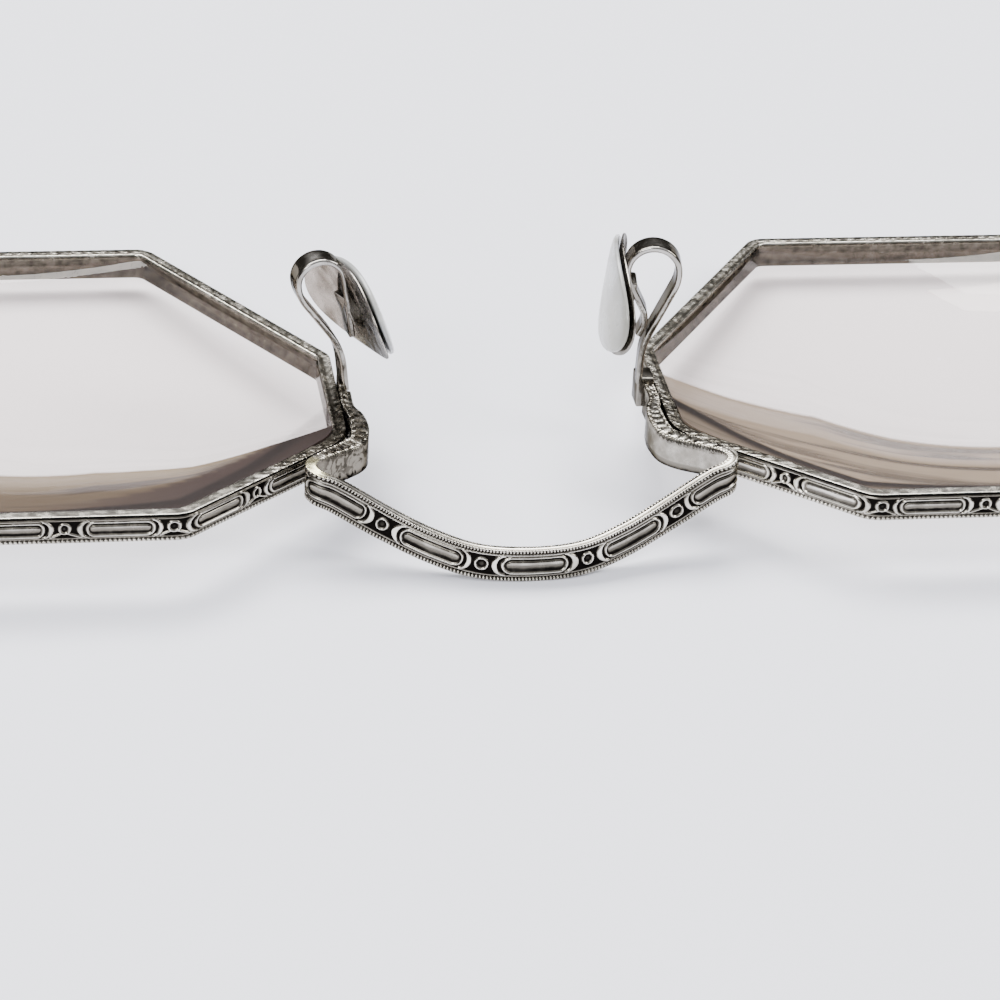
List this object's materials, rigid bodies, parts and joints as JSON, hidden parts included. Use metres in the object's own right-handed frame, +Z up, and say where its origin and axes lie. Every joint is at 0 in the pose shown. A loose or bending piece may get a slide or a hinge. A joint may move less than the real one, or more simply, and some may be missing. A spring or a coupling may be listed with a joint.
{
  "type": "octagonal eyeglasses",
  "caption": "Vintage octagonal metal eyeglasses with engraved rims and strap bridge, gooseneck nose pads and folding cable temples, lying face down.",
  "frame": {"origin": "bottom centre of the object's box, on the surface that the front lies on", "axes": "+X across the face towards the side called right, +Y from the brow to the cheek, +Z up from the table towards the wearer, along the open temples"},
  "size_m": [0.1184, 0.078, 0.1192],
  "materials": {
    "engraved_metal": "rolled relief, worn bright on the ridges and dark in the recesses",
    "plain_metal": "polished, faintly warm white metal",
    "cable_metal": "close-wound wire, satin",
    "screw_metal": "satin",
    "lens_glass": "clear, with a faint warm tint",
    "pearl": "pearly, semi-gloss"
  },
  "bodies": {
    "front": {"rim_right": "engraved_metal", "rim_left": "engraved_metal", "lens_right": "lens_glass", "lens_left": "lens_glass", "bridge": "engraved_metal", "end_piece_upper_right": "plain_metal", "end_piece_upper_left": "plain_metal", "end_piece_lower_right": "plain_metal", "end_piece_lower_left": "plain_metal", "joint_screw_right": "screw_metal", "joint_screw_left": "screw_metal", "pad_arm_right": "plain_metal", "pad_arm_left": "plain_metal", "pad_plate_right": "plain_metal", "pad_plate_left": "plain_metal", "nose_pad_right": "pearl", "nose_pad_left": "pearl"},
    "temple_right": {"temple_right": "plain_metal", "temple_sleeve_right": "plain_metal", "temple_core_right": "screw_metal", "temple_cable_right": "cable_metal", "temple_tip_right": "plain_metal"},
    "temple_left": {"temple_left": "plain_metal", "temple_sleeve_left": "plain_metal", "temple_core_left": "screw_metal", "temple_cable_left": "cable_metal", "temple_tip_left": "plain_metal"}
  },
  "joints": [
    {"name": "fold_right", "type": "hinge", "parent": "front", "child": "temple_right", "pos_m": [0.0562, -0.02225, 0.00767], "axis": [0, -0.9977, 0.0684], "range_deg": [0, 82]},
    {"name": "fold_left", "type": "hinge", "parent": "front", "child": "temple_left", "pos_m": [-0.0562, -0.02225, 0.00767], "axis": [0, 0.9977, -0.0684], "range_deg": [0, 78]}
  ]
}
